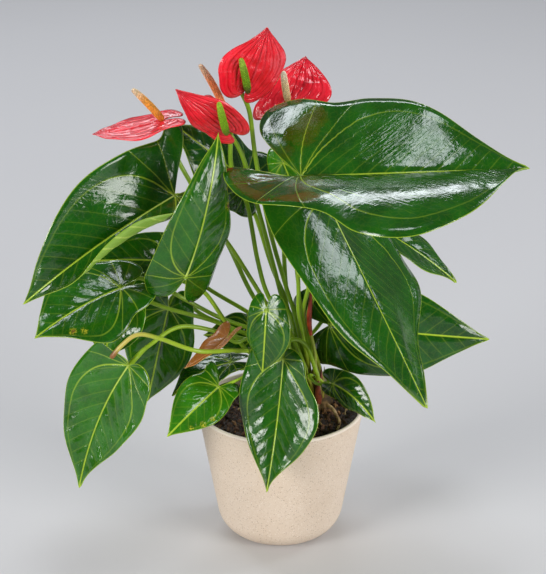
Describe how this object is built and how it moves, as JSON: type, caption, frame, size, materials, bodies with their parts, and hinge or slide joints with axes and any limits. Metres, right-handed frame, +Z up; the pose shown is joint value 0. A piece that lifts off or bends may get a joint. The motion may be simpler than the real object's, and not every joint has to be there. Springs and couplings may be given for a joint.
{
  "type": "potted anthurium",
  "caption": "Potted anthurium: glossy dark green heart-shaped leaves and waxy red spathes with upright spadices on thin arching stalks, growing from soil in a small round cream pot",
  "frame": {"origin": "Centre of the pot's flat foot, on the floor. The foot is the plane z = 0.", "axes": "+Z up. The front, towards which most leaves and flowers face, is -Y. +X is to the right of someone facing the front."},
  "size_m": [0.3741, 0.2371, 0.427],
  "materials": {
    "pot": "matt cream earthenware with fine brown speckles and a smooth rounded lip",
    "soil": "coarse dark bark and coir compost with a few pale roots lying on it",
    "crown": "low brown stem base wrapped in dry sheaths",
    "leaf": "dark glossy leaf with sunken yellow-green veins and a lighter, duller underside",
    "stalk": "smooth satin yellow-green stalk",
    "spathe": "waxy high-gloss red with a puckered surface",
    "spadix": "finely studded spike; orange with a cream tip on some flowers and green on others",
    "sheath": "thin dull red-brown sheath"
  },
  "bodies": {
    "root": {"pot": "pot", "soil": "soil", "crown": "crown", "cut_petiole": "stalk", "young_shoot": "sheath", "leaf_01_blade": "leaf", "leaf_01_petiole": "stalk", "leaf_02_blade": "leaf", "leaf_02_petiole": "stalk", "leaf_03_blade": "leaf", "leaf_03_petiole": "stalk", "leaf_04_blade": "leaf", "leaf_04_petiole": "stalk", "leaf_05_blade": "leaf", "leaf_05_petiole": "stalk", "leaf_06_blade": "leaf", "leaf_06_petiole": "stalk", "leaf_07_blade": "leaf", "leaf_07_petiole": "stalk", "leaf_08_blade": "leaf", "leaf_08_petiole": "stalk", "leaf_09_blade": "leaf", "leaf_09_petiole": "stalk", "leaf_10_blade": "leaf", "leaf_10_petiole": "stalk", "leaf_11_blade": "leaf", "leaf_11_petiole": "stalk", "leaf_12_blade": "leaf", "leaf_12_petiole": "stalk", "leaf_13_blade": "leaf", "leaf_13_petiole": "stalk", "leaf_14_blade": "leaf", "leaf_14_petiole": "stalk", "leaf_15_blade": "leaf", "leaf_15_petiole": "stalk", "leaf_16_blade": "leaf", "leaf_16_petiole": "stalk", "leaf_17_blade": "leaf", "leaf_17_petiole": "stalk", "leaf_18_blade": "leaf", "leaf_18_petiole": "stalk", "leaf_19_blade": "leaf", "leaf_19_petiole": "stalk", "leaf_20_blade": "leaf", "leaf_20_petiole": "stalk", "flower_1_spathe": "spathe", "flower_1_spadix": "spadix", "flower_1_stalk": "stalk", "flower_2_spathe": "spathe", "flower_2_spadix": "spadix", "flower_2_stalk": "stalk", "flower_3_spathe": "spathe", "flower_3_spadix": "spadix", "flower_3_stalk": "stalk", "flower_4_spathe": "spathe", "flower_4_spadix": "spadix", "flower_4_stalk": "stalk", "flower_5_spathe": "spathe", "flower_5_spadix": "spadix", "flower_5_stalk": "stalk"}
  },
  "joints": []
}
